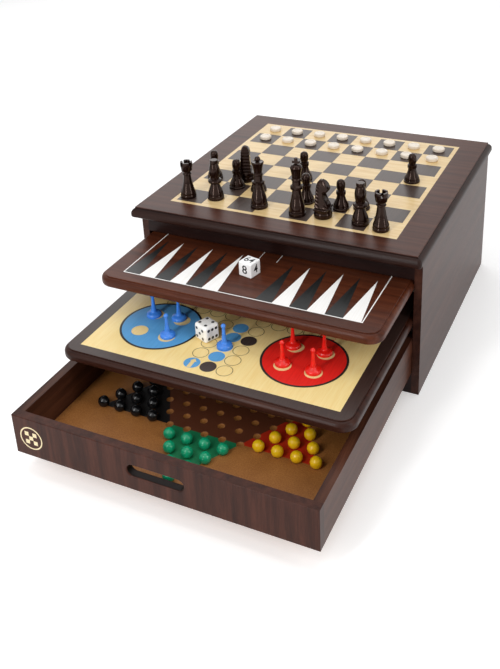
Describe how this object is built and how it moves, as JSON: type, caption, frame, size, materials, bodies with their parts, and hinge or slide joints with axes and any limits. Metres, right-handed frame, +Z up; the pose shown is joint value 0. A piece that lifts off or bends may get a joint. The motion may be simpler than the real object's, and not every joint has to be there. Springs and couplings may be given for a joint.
{
  "type": "games compendium box",
  "caption": "Wooden games box with a chessboard top, two sliding board trays, a marble-board drawer and playing pieces set out.",
  "frame": {"origin": "middle of the case's footprint, on the surface the case stands on", "axes": "+X to the right seen from the front, -Y towards the front where the trays and the drawer pull out, +Z up"},
  "size_m": [0.328, 0.559, 0.235],
  "materials": {
    "dark_wood": "dark stained, satin lacquer",
    "back_wood": "stained board, matt",
    "runner_wood": "stained, matt",
    "dowel_wood": "bare beech",
    "chess_print": "printed veneer, satin",
    "ludo_print": "printed sheet, satin",
    "hardboard": "hardboard, printed star",
    "tack_metal": "bright",
    "screw_metal": "plated",
    "ivory_plastic": "gloss",
    "black_ink": "gloss",
    "blue_plastic": "gloss",
    "red_plastic": "gloss",
    "green_plastic": "gloss",
    "yellow_plastic": "gloss",
    "black_marble": "gloss",
    "green_marble": "gloss",
    "yellow_marble": "gloss",
    "red_marble": "gloss",
    "blue_marble": "gloss",
    "white_marble": "gloss",
    "chess_brown": "gloss",
    "disc_cream": "satin"
  },
  "bodies": {
    "case": {"base_board": "back_wood", "bottom_rail": "dark_wood", "side_panel_left": "dark_wood", "side_panel_right": "dark_wood", "back_panel": "back_wood", "top_rail": "dark_wood", "top_back_rail": "dark_wood", "drawer_runner_left": "runner_wood", "drawer_runner_right": "runner_wood", "ludo_runner_left": "runner_wood", "ludo_runner_right": "runner_wood", "ludo_keeper_left": "runner_wood", "ludo_keeper_right": "runner_wood", "backgammon_runner_left": "runner_wood", "backgammon_runner_right": "runner_wood", "backgammon_keeper_left": "runner_wood", "backgammon_keeper_right": "runner_wood", "top_slab": "dark_wood", "chessboard_sheet": "chess_print", "case_dowels": "dowel_wood", "rail_tacks": "tack_metal", "slab_screws": "screw_metal", "back_panel_brads": "screw_metal"},
    "backgammon_tray": {"backgammon_tray": "dark_wood"},
    "ludo_tray": {"ludo_tray": "dark_wood", "ludo_sheet": "ludo_print", "ludo_pawns_blue": "blue_plastic", "ludo_pawns_red": "red_plastic", "ludo_pawns_green": "green_plastic", "ludo_pawns_yellow": "yellow_plastic", "ludo_die": "ivory_plastic", "die_pips": "black_ink"},
    "drawer": {"drawer_front": "dark_wood", "drawer_side_left": "dark_wood", "drawer_side_right": "dark_wood", "drawer_back": "dark_wood", "drawer_floor": "hardboard", "drawer_dowels": "dowel_wood", "marbles_black": "black_marble", "marbles_green": "green_marble", "marbles_yellow": "yellow_marble", "marbles_red": "red_marble", "marbles_blue": "blue_marble", "marbles_white": "white_marble"},
    "doubling_cube": {"doubling_cube": "ivory_plastic"},
    "chessmen": {"chess_king": "chess_brown", "chess_queen": "chess_brown", "chess_bishops": "chess_brown", "chess_knights": "chess_brown", "chess_rooks": "chess_brown", "chess_pawns": "chess_brown"},
    "draughtsmen": {"draughtsmen": "disc_cream"}
  },
  "joints": [
    {"name": "backgammon_tray_slide", "type": "slide", "parent": "case", "child": "backgammon_tray", "axis": [0, -1, 0], "range_m": [-0.1065, 0.126]},
    {"name": "ludo_tray_slide", "type": "slide", "parent": "case", "child": "ludo_tray", "axis": [0, -1, 0], "range_m": [-0.179, 0.0535]},
    {"name": "drawer_slide", "type": "slide", "parent": "case", "child": "drawer", "axis": [0, -1, 0], "range_m": [-0.254, 0]},
    {"name": "doubling_cube_lift", "type": "slide", "parent": "case", "child": "doubling_cube", "axis": [0, 0, 1], "range_m": [0, 0.08]},
    {"name": "chessmen_lift", "type": "slide", "parent": "case", "child": "chessmen", "axis": [0, 0, 1], "range_m": [0, 0.08]},
    {"name": "draughtsmen_lift", "type": "slide", "parent": "case", "child": "draughtsmen", "axis": [0, 0, 1], "range_m": [0, 0.05]}
  ]
}
